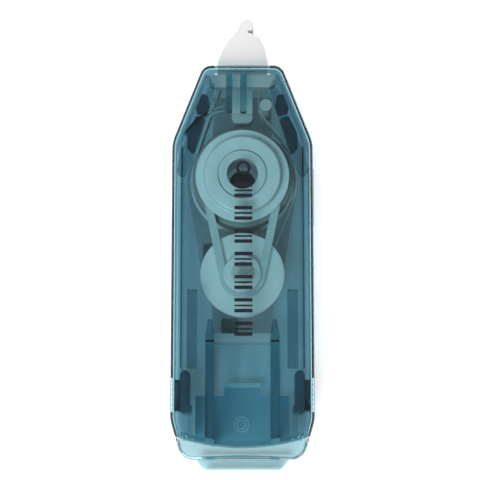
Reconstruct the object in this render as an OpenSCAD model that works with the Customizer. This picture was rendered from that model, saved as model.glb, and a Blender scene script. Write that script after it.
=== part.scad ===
// Refillable correction tape roller, lying on its back, tip towards +Y.
// A two-shell sleeve holds a cartridge (tip, reels, belt drive) on a holder that slides out of the rear.

/* [Case] */
// Width of the case
body_w = 30; // [28:1:36]
// Thickness of the case, back face to front face
body_t = 15; // [14.6:0.2:20]
// Length of the case, without the tip and the pull tab
case_len = 84; // [80:1:104]
// Wall thickness of the sleeve and the end cap
wall = 1.2; // [0.9:0.1:1.4]
// Radius of the long edges of the case
edge_r = 1.3; // [1:0.1:2]
// Width of the case at the mouth, before its corners are rounded
mouth_end_w = 16.8; // [16:0.2:20]
// Length of the taper behind the mouth
front_taper = 17; // [14:1:20]
// How much each side tapers in at the rear end
rear_taper_in = 2.4; // [1.4:0.1:2.6]
// Length of the taper at the rear end
rear_taper = 8.2; // [6:0.2:9]
// How far the end cap reaches up the case on its centre line
cap_len = 2.6; // [2:0.1:4]
// Radius of the curved seam between the sleeve and the end cap
seam_r = 46; // [40:1:60]

/* [Release] */
// Length of each side window
window_len = 7.1; // [6:0.1:9]
// Height of each side window
window_h = 7; // [5:0.5:8]
// Distance of the windows from the rear end of the case
window_y = 9.9; // [9.9:0.1:12]
// How far the latch hook reaches into its window
hook_grip = 0.5; // [0.3:0.1:0.8]

/* [Reels] */
// Width of the correction tape
tape_w = 5; // [4.2:0.2:5.2]
// Thickness of the tape, drawn thicker than the real one
tape_t = 0.12; // [0.1:0.02:0.2]
// Distance of the supply axle from the rear end of the case
supply_y = 60.4; // [58:0.2:64]
// Distance between the supply axle and the take-up axle
axle_gap = 21.2; // [20.8:0.2:24]
// Radius of the supply reel's flange
supply_r = 11.4; // [10.4:0.1:11.6]
// How far the supply reel's flange stands out past the wound tape
roll_margin = 0.6; // [0.4:0.1:3]
// Radius of the take-up reel's flanges
takeup_r = 9; // [8:0.1:9.2]
// Radius of the used tape on the take-up reel
spent_r = 4.2; // [3.4:0.1:7]

/* [Belt drive] */
// Radius at the bottom of the drive pulley's groove
drive_groove_r = 7.45; // [7:0.05:8]
// Radius at the bottom of the take-up pulley's groove
takeup_groove_r = 3.2; // [3:0.05:4]
// Thickness of the belt, outwards from the groove
belt_t = 1.7; // [1.2:0.1:2]
// Height of the belt along the axles
belt_h = 1; // [0.8:0.1:1.2]
// Radius of the drive pulley's upper flange
drive_flange_r = 10.1; // [9.6:0.1:10.4]
// Radius of the clutch housing on the drive pulley
drum_r = 8.3; // [8:0.1:8.8]

/* [Tip] */
// How far the tip stands out of the mouth
nose_out = 11.8; // [10:0.2:14]
// Radius of the rounded pressing edge
nose_r = 1.3; // [1:0.1:1.6]
// How far the pressing edge is off the centre line
nose_x = 1.15; // [0:0.05:2]
// Width of the hood where it leaves the mouth
hood_w = 10.8; // [10:0.2:12]
// Thickness of each side plate of the hood
hood_plate = 1.1; // [0.8:0.1:1.4]

/* [Holder] */
// How far the pull tab stands out of the end cap
tab_out = 1.95; // [1.5:0.05:4]
// Distance between the outer faces of the two prongs
prong_span = 15.5; // [14:0.1:16]
// Thickness of each prong
prong_t = 1.9; // [1.2:0.1:2.2]
// Thickness of the holder's floor
holder_floor = 1; // [0.8:0.1:1.2]

/* [Hidden] */
$fn = 96;
eps = 0.02;

// clearances
slide_gap = 0.15;   // between the sleeve and what slides in it
run_gap = 0.05;     // radial clearance of a reel on its axle, and of the belt in its grooves
face_gap = 0.12;    // between faces that turn past each other

// places along the case, measured from its rear end
rear_end_w = body_w - 2 * rear_taper_in;
roll_r = supply_r - roll_margin;
mid_y = (case_len + nose_out - tab_out) / 2;
takeup_y = supply_y - axle_gap;
supply_at = [0, supply_y];
takeup_at = [0, takeup_y];
split_z = body_t / 2;

// heights of the cartridge's layers, from the back
deck_z = wall + 0.2;
deck_t = 1.2;
flange_t = 0.55;
flange_z = deck_z + deck_t + face_gap;
tape_z = flange_z + flange_t + 0.05;
tape_mid = tape_z + tape_w / 2;
pulley_z = tape_z + tape_w + 0.1;
plate_t = 0.4;
groove_z = pulley_z + plate_t;
groove_h = belt_h + 0.1;
belt_z = groove_z + 0.05;
rim_z = groove_z + groove_h;
drum_z = rim_z + flange_t;
drum_top = drum_z + 2;
retainer_t = 0.6;

// supply axle and clutch
axle_r = 4.4;
axle_wall = 0.55;
retainer_hole_r = 3.3;
retainer_r = 5;
hub_r = 5.6;
drum_wall = 0.55;
clutch_r = drive_groove_r - drum_wall;
drum_lid = 0.7;

// take-up axle
post_r = 1.7;
post_neck_r = 1.2;
takeup_hub_r = 3;
takeup_rim_r = takeup_groove_r + 0.8;
takeup_top = rim_z + 0.5;

// return path of the used tape
guide_at = [5.05, supply_y + 15.1];
guide_r = 1.3;
guide_top = 12.4;
fence_r = supply_r + 0.65;
fence_t = 0.45;
nose_at = [nose_x, case_len + nose_out - nose_r];
strip_gap = 0.03;

// tip
core_half = tape_w / 2 + 0.1;
core_nose_r = nose_r - tape_t - 2 * strip_gap;
flange_half_w = mouth_end_w / 2 - wall + 0.1;
flange_y = case_len - 4.2;
flange_front = case_len - wall - 0.2;
flange_low = deck_z + 0.2;
flange_high = 11;

// holder
cap_seam_y = cap_len + seam_r;
prong_x = (prong_span - prong_t) / 2;
prong_top = 13;
bar_y = takeup_y - takeup_r - 5.3;
bar_t = 1.9;
bar_half_w = 8;
bar_top = 7;
prong_reach = bar_y + 4.3;
plate_half_w = 10.1;
plate_y = 13.8;
tongue_half_w = 3.9;
tongue_y = 16.5;

// release arms
pad_in = body_w / 2 - 4.1;
pad_out = body_w / 2 - 1.9;
pad_y = window_y - 0.6;
pad_len = window_len + 2.2;
pad_h = window_h + 1;
knuckle_at = [body_w / 2 - 4, 5.2];
knuckle_r = 0.8;
arm_t = 0.9;
hook_out = body_w / 2 - wall + hook_grip;

// grip ridges on the right side
ridge_count = 14;
ridge_pitch = 0.9;
ridge_r = 0.4;
ridge_out = 0.2;
ridge_y = 50;

// ---- outline of the case ----

function unit(v) = v / norm(v);
function left_of(v) = [-v[1], v[0]];

// corners of the case, anticlockwise, with the radius of each as a third value
case_corners = [
    [rear_end_w / 2, 0, 3.5], [body_w / 2, rear_taper, 8],
    [body_w / 2, case_len - front_taper, 8], [mouth_end_w / 2, case_len, 2.6],
    [-mouth_end_w / 2, case_len, 2.6], [-body_w / 2, case_len - front_taper, 8],
    [-body_w / 2, rear_taper, 8], [-rear_end_w / 2, 0, 3.5]
];

// a corner of a convex outline, moved inwards by d
function inset_corner(c, i, d) =
    let (n = len(c), a = c[(i + n - 1) % n], b = c[i], e = c[(i + 1) % n])
    let (m = left_of(unit([b[0] - a[0], b[1] - a[1]])), k = left_of(unit([e[0] - b[0], e[1] - b[1]])))
    let (p = [b[0], b[1]] + d * (m + k) / (1 + m * k))
    [p[0], p[1], max(b[2] - d, 0.1)];

// points of the arc that rounds corner b between a and c
function corner_arc(a, b, c, steps) =
    let (p = [b[0], b[1]], u = unit([a[0], a[1]] - p), v = unit([c[0], c[1]] - p), half = acos(u * v) / 2)
    let (o = p + unit(u + v) * b[2] / sin(half), from = p + u * b[2] / tan(half) - o)
    let (start = atan2(from[1], from[0]), turn = 180 - 2 * half)
    [for (i = [0:steps]) o + b[2] * [cos(start + turn * i / steps), sin(start + turn * i / steps)]];

function outline(d) =
    let (c = [for (i = [0:len(case_corners) - 1]) inset_corner(case_corners, i, d)], n = len(c))
    [for (i = [0:n - 1]) each corner_arc(c[(i + n - 1) % n], c[i], c[(i + 1) % n], 4)];

// the outline as a slab from z0 to z1, inset by d, with its long edges rounded by r
module slab(d, z0, z1, r, steps) {
    low = [for (i = [0:steps]) [z0 + r - r * cos(90 * i / steps), d + r * (1 - sin(90 * i / steps))]];
    high = [for (i = [steps:-1:0]) [z0 + z1 - low[i][0], low[i][1]]];
    layers = concat(low, high);
    rings = [for (l = layers) outline(l[1])];
    n = len(rings[0]);
    m = len(layers);
    polyhedron(
        points = [for (k = [0:m - 1]) for (p = rings[k]) [p[0], p[1], layers[k][0]]],
        faces = concat(
            [[for (i = [0:n - 1]) i], [for (i = [n - 1:-1:0]) (m - 1) * n + i]],
            [for (k = [0:m - 2]) for (i = [0:n - 1])
                [k * n + i, k * n + n + i, k * n + n + (i + 1) % n]],
            [for (k = [0:m - 2]) for (i = [0:n - 1])
                [k * n + i, k * n + n + (i + 1) % n, k * n + (i + 1) % n]]
        )
    );
}

module outer_form() slab(0, 0, body_t, edge_r, 3);
module cavity() slab(wall, wall, body_t - wall, 0.3, 1);

// everything in front of the curved seam, or in front of it by an extra distance
module ahead_of_seam(extra) {
    translate([0, cap_seam_y, -1]) cylinder(r = seam_r - extra, h = body_t + 2, $fn = 256);
    translate([-body_w, cap_seam_y, -1]) cube([2 * body_w, case_len, body_t + 2]);
}

module at(p, z = 0) translate([p[0], p[1], z]) children();

module ring(outer, inner, z0, z1) difference() {
    translate([0, 0, z0]) cylinder(r = outer, h = z1 - z0);
    translate([0, 0, z0 - 1]) cylinder(r = inner, h = z1 - z0 + 2);
}

// ---- sleeve ----

lip_t = wall * 0.45;
lip_h = 0.8;
mouth_half_w = hood_w / 2 + 0.6;
mouth_low = tape_mid - 4.2;
mouth_high = tape_mid + 4.2;

module mouth() translate([-mouth_half_w, case_len - wall - 1, mouth_low])
    cube([2 * mouth_half_w, wall + 2, mouth_high - mouth_low]);

module windows() for (side = [-1, 1])
    translate([side * body_w / 2 - wall - 0.8, window_y, body_t / 2 - window_h / 2])
        cube([2 * wall + 1.6, window_len, window_h]);

module grip_ridges(z0, z1) for (i = [0:ridge_count - 1])
    translate([body_w / 2 + ridge_out - ridge_r, ridge_y + i * ridge_pitch, z0])
        cylinder(r = ridge_r, h = z1 - z0, $fn = 24);

module lip(d0, h) linear_extrude(h) difference() {
    polygon(outline(d0));
    polygon(outline(wall));
}

// a rib inside the front face, with a round rear end
module face_rib(x, w, y0, y1, z0) {
    translate([x - w / 2, y0 + w / 2, z0]) cube([w, y1 - y0 - w / 2, body_t - wall / 2 - z0]);
    translate([x, y0 + w / 2, z0]) cylinder(d = w, h = body_t - wall / 2 - z0, $fn = 48);
}

module sleeve_half(z0, z1) difference() {
    intersection() {
        outer_form();
        translate([-body_w, -1, z0]) cube([2 * body_w, case_len + 2, z1 - z0]);
        ahead_of_seam(0);
    }
    cavity();
}

module front_shell() color([0.20, 0.48, 0.56, 0.5]) difference() {
    union() {
        sleeve_half(split_z, body_t + 1);
        grip_ridges(split_z, body_t - 3);
        // two short ribs over the stem of the tip
        face_rib(-2.85, 1.3, case_len - 10.4, case_len - wall / 2, flange_high + 0.3);
        face_rib(0.2, 1.5, case_len - 10.4, case_len - wall / 2, flange_high + 0.3);
        // side rails in front of the release pads
        for (side = [-1, 1])
            translate([side * (body_w / 2 - 4.5) - 1.1, pad_y + pad_len + 0.3, 11])
                cube([2.2, 16.5, body_t - wall / 2 - 11]);
    }
    translate([0, 0, split_z - eps]) lip(wall - lip_t - 0.05, lip_h + 0.1);
    mouth();
    windows();
}

module back_shell() color([0.20, 0.48, 0.56, 0.5]) difference() {
    union() {
        sleeve_half(-1, split_z);
        grip_ridges(3, split_z);
        intersection() {
            translate([0, 0, split_z - eps]) lip(wall - lip_t, lip_h);
            ahead_of_seam(0);
        }
    }
    mouth();
    windows();
}

// ---- holder ----

spigot_t = 0.8;
spigot_len = 1.3;

// rear end of the case, with the spigot that the sleeve slides over
module end_cap() difference() {
    union() {
        difference() {
            outer_form();
            ahead_of_seam(-slide_gap);
        }
        difference() {
            slab(wall + slide_gap, wall + slide_gap, body_t - wall - slide_gap, 0.3, 1);
            ahead_of_seam(spigot_len);
        }
    }
    slab(wall + slide_gap + spigot_t, wall + slide_gap + spigot_t, body_t - wall - slide_gap - spigot_t, 0.3, 1);
}

// the pad, tongue and prongs that carry the cartridge
module carrier() {
    translate([-plate_half_w, wall / 2, deck_z]) cube([2 * plate_half_w, plate_y - wall / 2, holder_floor]);
    translate([-tongue_half_w, plate_y - 1, deck_z]) cube([2 * tongue_half_w, tongue_y - plate_y + 1, holder_floor]);
    translate([-tongue_half_w, tongue_y - 1, deck_z]) cube([2 * tongue_half_w, 1, holder_floor + 0.8]);
    for (side = [-1, 1]) translate([side * prong_x, 0, 0]) prong();
}

module prong() {
    translate([-prong_t / 2, wall / 2, deck_z])
        cube([prong_t, bar_y - 0.1 - wall / 2, prong_top - deck_z]);
    translate([0, 0, bar_top + 0.1]) linear_extrude(prong_top - bar_top - 0.1) polygon([
        [-prong_t / 2, bar_y - 1], [prong_t / 2, bar_y - 1], [prong_t / 2, bar_y + 1.2],
        [0.4, prong_reach], [-0.4, prong_reach], [-prong_t / 2, bar_y + 1.2]
    ]);
    // catch that drops in front of the cartridge's tail bar
    translate([-0.5, bar_y + bar_t + 0.1, bar_top - 0.9]) cube([1, 0.8, 1.4]);
}

module knuckle_seat(side) difference() {
    translate([side * knuckle_at[0] - 0.95, wall / 2, body_t / 2 - pad_h / 2])
        cube([1.9, knuckle_at[1] - wall / 2 - 0.2, pad_h]);
    translate([side * knuckle_at[0], knuckle_at[1], 0]) cylinder(r = knuckle_r + 0.08, h = body_t, $fn = 48);
}

module pull_tab() translate([0, 0, 0.6]) linear_extrude(3) polygon([
    [-9.7, wall / 2], [9.7, wall / 2], [9.7, 0], [8.6, -tab_out + 0.5], [7.9, -tab_out],
    [-7.9, -tab_out], [-8.6, -tab_out + 0.5], [-9.7, 0]
]);

module refill_holder() color([0.28, 0.58, 0.66, 0.5]) {
    end_cap();
    intersection() {
        union() {
            carrier();
            for (side = [-1, 1]) knuckle_seat(side);
        }
        translate([-body_w, wall / 2, deck_z]) cube([2 * body_w, case_len, body_t]);
    }
    pull_tab();
}

// an arm of the right side: knuckle, spring arm, thumb pad and hook
module release_arm() {
    arm_x = knuckle_at[0];
    translate([0, 0, body_t / 2 - pad_h / 2]) {
        translate([arm_x, knuckle_at[1], 0]) cylinder(r = knuckle_r, h = pad_h, $fn = 48);
        translate([arm_x - arm_t / 2, knuckle_at[1], 0]) cube([arm_t, pad_y + 2 - knuckle_at[1], pad_h]);
        pad_r = (pad_out - pad_in) / 2;
        translate([pad_in, pad_y + pad_r, 0]) cube([2 * pad_r, pad_len - 2 * pad_r, pad_h]);
        for (y = [pad_y + pad_r, pad_y + pad_len - pad_r])
            translate([pad_in + pad_r, y, 0]) cylinder(r = pad_r, h = pad_h, $fn = 48);
    }
    translate([0, 0, body_t / 2 - window_h / 2 + 0.4]) linear_extrude(window_h - 0.8) polygon([
        [pad_out - 0.5, window_y + 0.2], [hook_out, window_y + 0.2], [hook_out, window_y + 0.9],
        [pad_out - 0.1, window_y + 3.6], [pad_out - 0.5, window_y + 3.6]
    ]);
}

module release_arm_left() color([0.28, 0.58, 0.66, 0.5]) mirror([1, 0, 0]) release_arm();
module release_arm_right() color([0.28, 0.58, 0.66, 0.5]) release_arm();

// ---- tape path ----

// the straight line that touches circle p (radius r) and circle q (radius s); a negative radius
// touches the circle on its other side. The line runs from p to q with both circles on its right.
function touching(p, r, q, s) =
    let (d = norm(q - p), base = atan2(q[1] - p[1], q[0] - p[0]), a = base + 90 + asin((s - r) / d))
    [p + r * [cos(a), sin(a)], q + s * [cos(a), sin(a)]];

function angle_from(c, p) = atan2(p[1] - c[1], p[0] - c[0]);

// points on the arc about c from angle a0 to a1, every step degrees or less
function arc(c, r, a0, a1, step) =
    let (n = max(1, ceil(abs(a1 - a0) / step)))
    [for (i = [0:n]) c + r * [cos(a0 + (a1 - a0) * i / n), sin(a0 + (a1 - a0) * i / n)]];

// a strip of tape, standing on edge, along a path that already has its thickness allowed for
module strip(points) {
    n = len(points);
    side = [for (i = [0:n - 1])
        left_of(unit(points[min(i + 1, n - 1)] - points[max(i - 1, 0)])) * tape_t / 2];
    translate([0, 0, tape_z]) linear_extrude(tape_w) polygon(concat(
        [for (i = [0:n - 1]) points[i] + side[i]],
        [for (i = [n - 1:-1:0]) points[i] - side[i]]
    ));
}

half_t = tape_t / 2 + strip_gap;
nose_path_r = core_nose_r + half_t;
feed_line = touching(supply_at, roll_r + half_t, nose_at, nose_path_r);
return_line = touching(nose_at, nose_path_r, guide_at, -guide_r - half_t);
across_line = touching(guide_at, -guide_r - half_t, supply_at, fence_r + half_t);
wind_line = touching(supply_at, fence_r + half_t, takeup_at, spent_r + half_t);
feed_angle = angle_from(nose_at, feed_line[1]);
nose_end = angle_from(nose_at, return_line[0]);
coat_end = nose_end + 40;

module correction_tape_run() color([0.97, 0.97, 0.95]) strip(concat(
    [feed_line[0]], arc(nose_at, nose_path_r, feed_angle, coat_end, 10)
));

module spent_tape_run() color([0.86, 0.90, 0.90, 0.8]) {
    a = angle_from(guide_at, return_line[1]);
    b = angle_from(guide_at, across_line[0]);
    c = angle_from(supply_at, across_line[1]);
    d = angle_from(supply_at, wind_line[0]);
    strip(concat(
        arc(nose_at, nose_path_r, coat_end - 1, nose_end, 10),
        arc(guide_at, guide_r + half_t, a, a + ((b - a + 540) % 360 - 180), 10),
        arc(supply_at, fence_r + half_t, c, d, 6),
        [wind_line[1]]
    ));
}

// ---- cartridge ----

tail_half_w = 6.6;

module deck() {
    at(supply_at) cylinder(r = fence_r, h = deck_t);
    at(takeup_at) cylinder(r = takeup_r - 0.4, h = deck_t);
    side = touching(supply_at, fence_r, takeup_at, takeup_r - 0.4);
    linear_extrude(deck_t) polygon([side[0], side[1], [-side[1][0], side[1][1]], [-side[0][0], side[0][1]]]);
    translate([-tail_half_w, bar_y, 0]) cube([2 * tail_half_w, takeup_y - bar_y, deck_t]);
    translate([-6.5, supply_y, 0]) cube([13, flange_y - 0.1 - supply_y, deck_t]);
}

module refill_frame() color([0.82, 0.88, 0.87, 0.7]) {
    difference() {
        translate([0, 0, deck_z]) deck();
        at(supply_at) cylinder(r = axle_r - axle_wall, h = body_t);
        at(guide_at) cylinder(r = 0.85, h = body_t, $fn = 48);
        // windows moulded through the deck
        translate([-8.6, takeup_y + 1.2, 0]) cube([2.9, 6.5, body_t]);
        translate([-4.6, bar_y + bar_t + 0.5, 0]) cube([3.7, 3.2, body_t]);
    }
    // tail bar that the prongs grip
    translate([-bar_half_w + bar_t / 2, bar_y, deck_z]) cube([2 * bar_half_w - bar_t, bar_t, bar_top - deck_z]);
    for (side = [-1, 1]) translate([side * (bar_half_w - bar_t / 2), bar_y + bar_t / 2, deck_z])
        cylinder(d = bar_t, h = bar_top - deck_z, $fn = 48);
    at(supply_at) ring(axle_r, axle_r - axle_wall, deck_z, drum_top + 0.05);
    at(takeup_at, deck_z) cylinder(r = post_r, h = takeup_top + 0.1 - deck_z);
    at(takeup_at, deck_z) cylinder(r = post_neck_r, h = takeup_top + 0.8 - deck_z);
    tape_fence();
}

// curved wall that leads the used tape round the supply reel
module tape_fence() at(supply_at) intersection() {
    ring(fence_r, fence_r - fence_t, deck_z, tape_z + tape_w - 0.1);
    linear_extrude(body_t) polygon([[0, 0], 20 * [cos(-24), sin(-24)], [20, 0], 20 * [cos(43), sin(43)]]);
}

module guide_post() color([0.95, 0.96, 0.95]) at(guide_at) {
    translate([0, 0, deck_z + deck_t]) cylinder(r = guide_r, h = guide_top - deck_z - deck_t);
    translate([0, 0, deck_z]) cylinder(r = 0.8, h = deck_t + eps, $fn = 48);
}

module supply_reel() color([0.90, 0.93, 0.92]) at(supply_at) {
    ring(supply_r, axle_r + run_gap, flange_z, flange_z + flange_t);
    ring(hub_r, axle_r + run_gap, flange_z, drum_top - drum_lid - face_gap);
}

module correction_tape_roll() color([0.98, 0.98, 0.96]) at(supply_at)
    ring(roll_r, hub_r + 0.02, tape_z, tape_z + tape_w);

module drive_pulley() color([0.93, 0.96, 0.96]) at(supply_at) difference() {
    union() {
        ring(drive_groove_r + belt_t + 0.1, clutch_r, pulley_z, groove_z);
        ring(drive_groove_r, clutch_r, pulley_z, rim_z + eps);
        ring(drive_flange_r, clutch_r, rim_z, drum_z);
        ring(drum_r, clutch_r, rim_z, drum_top);
        ring(drum_r, axle_r + run_gap, drum_top - drum_lid, drum_top);
    }
}

module clutch_ring() color([0.25, 0.27, 0.28]) at(supply_at)
    ring(clutch_r - 0.03, hub_r + 0.04, groove_z + 0.3, drum_top - drum_lid - 0.4);

module supply_retainer() color([0.93, 0.96, 0.96]) at(supply_at) {
    ring(retainer_r, retainer_hole_r, drum_top + 0.1, drum_top + 0.1 + retainer_t);
    ring(axle_r - axle_wall - 0.02, retainer_hole_r, drum_top - 1, drum_top + 0.1 + eps);
}

// open belt with both grooves on its inner side
module drive_belt() color([0.88, 0.92, 0.90]) translate([0, 0, belt_z]) linear_extrude(belt_h) difference() {
    polygon(belt_outline(belt_t + run_gap));
    polygon(belt_outline(run_gap));
}

function belt_outline(grow) =
    let (r = drive_groove_r + grow, s = takeup_groove_r + grow, line = touching(supply_at, r, takeup_at, s))
    let (a = angle_from(supply_at, line[0]))
    concat(arc(supply_at, r, a, 180 - a, 4), arc(takeup_at, s, 180 - a, 360 + a, 4));

module takeup_reel() color([0.93, 0.96, 0.96]) at(takeup_at) {
    ring(takeup_r - 0.4, post_r + run_gap, flange_z, flange_z + flange_t);
    ring(takeup_hub_r, post_r + run_gap, flange_z, pulley_z - 0.02);
}

module takeup_pulley() color([0.93, 0.96, 0.96]) at(takeup_at) {
    ring(takeup_r, post_r + run_gap, pulley_z, groove_z);
    ring(takeup_groove_r, post_r + run_gap, pulley_z, takeup_top);
    ring(takeup_rim_r, post_r + run_gap, rim_z, takeup_top);
}

module takeup_retainer() color([0.93, 0.96, 0.96]) at(takeup_at)
    ring(2.4, post_neck_r + 0.02, takeup_top + 0.12, takeup_top + 0.7);

module spent_tape_roll() color([0.86, 0.90, 0.90]) at(takeup_at)
    ring(spent_r, takeup_hub_r + 0.02, tape_z, tape_z + tape_w);

// ---- tip ----

function x_on(line, y) = line[0][0] + (line[1][0] - line[0][0]) * (y - line[0][1]) / (line[1][1] - line[0][1]);

// half profile values of the hood: [x on the left, x on the right, distance before the nose end]
hood_profile = [[-hood_w / 2, hood_w / 2, nose_out + wall], [-hood_w / 2, hood_w / 2, 9.6],
    [-4.3, 4.95, 6.8], [-2.9, 3.95, 4.7], [-2, 3.1, 3.7]];

function end_y(back) = case_len + nose_out - back;

hood_outline = concat(
    [for (p = hood_profile) [p[1], end_y(p[2])]],
    [[2.5, end_y(3.35)], [1.7, end_y(3.2)], [1.35, end_y(2.95)], [1.3, end_y(2.6)], [1.5, end_y(2.4)]],
    arc(nose_at, nose_r, -48, 150, 12),
    [[-1.4, end_y(3.2)]],
    [for (i = [len(hood_profile) - 1:-1:0]) [hood_profile[i][0], end_y(hood_profile[i][2])]]
);

core_gap = 0.25;
stem_y = flange_y - 5;

module tip_core() translate([0, 0, tape_mid - core_half]) linear_extrude(2 * core_half) {
    polygon([
        [x_on(feed_line, flange_y) + core_gap, flange_y], [x_on(return_line, flange_y) - core_gap, flange_y],
        [x_on(return_line, nose_at[1]) - 2 * core_gap, nose_at[1]],
        [x_on(feed_line, nose_at[1]) + core_gap, nose_at[1]]
    ]);
    translate(nose_at) circle(r = core_nose_r, $fn = 64);
}

module tip_flange() difference() {
    translate([0, 0, flange_low]) linear_extrude(flange_high - flange_low) polygon([
        [-flange_half_w + 0.5, flange_y], [flange_half_w - 0.5, flange_y],
        [flange_half_w, flange_y + 0.5], [flange_half_w, flange_front - 0.9],
        [flange_half_w - 0.9, flange_front], [-flange_half_w + 0.9, flange_front],
        [-flange_half_w, flange_front - 0.9], [-flange_half_w, flange_y + 0.5]
    ]);
    // ways through for the tape on each side of the core
    translate([x_on(feed_line, flange_y) - 1.2, flange_y - 1, tape_mid - core_half])
        cube([x_on(return_line, flange_y) - x_on(feed_line, flange_y) + 2.4, 6, 2 * core_half]);
}

module applicator_tip() color([0.96, 0.96, 0.96]) {
    tip_core();
    tip_flange();
    for (z = [tape_mid - core_half - hood_plate, tape_mid + core_half])
        translate([0, 0, z]) linear_extrude(hood_plate) polygon(hood_outline);
    for (z = [tape_mid - core_half - hood_plate, tape_mid + core_half])
        translate([-hood_w / 2, flange_y, z]) cube([hood_w, 3, hood_plate]);
    // stem that stands on the deck, between the two runs of tape
    stem_left = x_on(feed_line, flange_y + 1.5) + 0.5;
    stem_right = x_on(return_line, flange_y + 1.5) - 0.5;
    translate([stem_left, stem_y, deck_z + deck_t])
        cube([stem_right - stem_left, flange_y - stem_y + 1.5, tape_w]);
}

translate([0, -mid_y, 0]) {
    front_shell();
    back_shell();
    refill_holder();
    release_arm_left();
    release_arm_right();
    refill_frame();
    applicator_tip();
    guide_post();
    supply_reel();
    correction_tape_roll();
    drive_pulley();
    clutch_ring();
    supply_retainer();
    drive_belt();
    takeup_reel();
    takeup_pulley();
    takeup_retainer();
    spent_tape_roll();
    correction_tape_run();
    spent_tape_run();
}
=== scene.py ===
import math
import bpy
import bmesh
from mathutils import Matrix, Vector


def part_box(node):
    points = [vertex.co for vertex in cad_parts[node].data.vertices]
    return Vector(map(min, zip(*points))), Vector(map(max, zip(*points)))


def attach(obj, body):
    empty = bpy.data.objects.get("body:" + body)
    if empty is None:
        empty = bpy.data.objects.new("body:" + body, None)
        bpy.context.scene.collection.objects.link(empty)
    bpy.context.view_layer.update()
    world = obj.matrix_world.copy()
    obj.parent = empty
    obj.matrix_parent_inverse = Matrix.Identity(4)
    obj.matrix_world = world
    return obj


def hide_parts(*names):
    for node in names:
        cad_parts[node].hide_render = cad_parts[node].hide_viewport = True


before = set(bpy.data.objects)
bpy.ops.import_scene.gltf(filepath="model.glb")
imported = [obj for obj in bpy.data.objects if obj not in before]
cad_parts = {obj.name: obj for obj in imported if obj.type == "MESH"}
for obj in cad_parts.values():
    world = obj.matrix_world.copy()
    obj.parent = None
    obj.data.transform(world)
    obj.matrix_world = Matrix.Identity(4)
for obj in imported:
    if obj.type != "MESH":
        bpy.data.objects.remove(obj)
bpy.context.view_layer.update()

scene = bpy.context.scene
MM = 0.001

# ---------------------------------------------------------------- sizes, mm, y measured from the rear end
(case_lo, case_hi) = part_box("back_shell")
(hold_lo, hold_hi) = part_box("refill_holder")
(tip_lo, tip_hi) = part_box("applicator_tip")
HALF_W = -case_lo[0] / MM
CASE_T = hold_hi[2] / MM
CASE_LEN = 84.0
REAR = case_hi[1] / MM - CASE_LEN
WALL = 1.2                          # front and back walls
SIDE = 0.8                          # side walls
EDGE = 1.3                          # outer rounding of the case
SPLIT = CASE_T / 2                  # where the two shells meet
SPLIT_GAP = 0.015                   # each shell stops this short of the split
UNDER_FRONT = CASE_T - WALL - 0.01  # just behind the front wall
SEAM_R = 46.0                       # curved seam between case and end cap
SEAM_Y = 2.6 + SEAM_R
GAP = 0.15                          # end cap to case
FLOOR = 1.4                         # floor of the holder
WINDOW_Y = (9.9, 17.0)              # side windows, and their half height
WINDOW_Z = 3.5
LINING_Y = (19.0, 66.0)
PRONG_X = 6.8                       # prongs of the holder: middle, half width, front
PRONG_W = 0.95
PRONG_TOP = 13.0
MARK = (-0.2, 7.7)                  # moulded mark on the holder's floor
NOSE_Y = tip_hi[1] / MM - REAR


def centre(node):
    lo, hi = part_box(node)
    return ((lo[0] + hi[0]) / 2 / MM, (lo[1] + hi[1]) / 2 / MM - REAR)


SUP = centre("drive_pulley")
TAK = centre("takeup_pulley")


def zs(node):
    lo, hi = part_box(node)
    return lo[2] / MM, hi[2] / MM


# ---------------------------------------------------------------- camera
TILT = math.radians(9.5)
AIM = Vector((-0.51, 0.0, 7.65)) * MM
DISTANCE = 316.2 * MM
cam_data = bpy.data.cameras.new("camera")
cam_data.sensor_width = 36.0
cam_data.lens = 110.2
cam_data.clip_start = 0.01
cam = bpy.data.objects.new("camera", cam_data)
scene.collection.objects.link(cam)
cam.location = AIM + DISTANCE * Vector((0, -math.sin(TILT), math.cos(TILT)))
cam.rotation_euler = (TILT, 0, 0)
scene.camera = cam


# ---------------------------------------------------------------- node helpers
def new_mat(name):
    m = bpy.data.materials.new(name)
    m.use_nodes = True
    nt = m.node_tree
    nt.nodes.clear()
    return m, nt, nt.nodes.new("ShaderNodeOutputMaterial")


def node(nt, kind, **values):
    n = nt.nodes.new(kind)
    for k, v in values.items():
        if k in n.inputs:
            n.inputs[k].default_value = v
        else:
            setattr(n, k, v)
    return n


def coords(nt):
    return node(nt, "ShaderNodeTexCoord").outputs["Object"]


def noise(nt, scale, detail=3.0, rough=0.5, vec=None):
    n = node(nt, "ShaderNodeTexNoise")
    n.inputs["Scale"].default_value = scale
    n.inputs["Detail"].default_value = detail
    n.inputs["Roughness"].default_value = rough
    nt.links.new(vec or coords(nt), n.inputs["Vector"])
    return n.outputs["Fac"]


def remap(nt, value, lo, hi, a=0.3, b=0.7):
    n = node(nt, "ShaderNodeMapRange")
    nt.links.new(value, n.inputs["Value"])
    n.inputs["From Min"].default_value = a
    n.inputs["From Max"].default_value = b
    n.inputs["To Min"].default_value = lo
    n.inputs["To Max"].default_value = hi
    return n.outputs["Result"]


def ramp(nt, value, stops):
    n = node(nt, "ShaderNodeValToRGB")
    els = n.color_ramp.elements
    while len(els) < len(stops):
        els.new(0.5)
    for e, (p, c) in zip(els, stops):
        e.position = p
        e.color = (*c, 1)
    nt.links.new(value, n.inputs["Fac"])
    return n.outputs["Color"]


def bump(nt, height, strength, distance, normal=None):
    n = node(nt, "ShaderNodeBump")
    n.inputs["Strength"].default_value = strength
    n.inputs["Distance"].default_value = distance
    nt.links.new(height, n.inputs["Height"])
    if normal is not None:
        nt.links.new(normal, n.inputs["Normal"])
    return n.outputs["Normal"]


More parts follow.
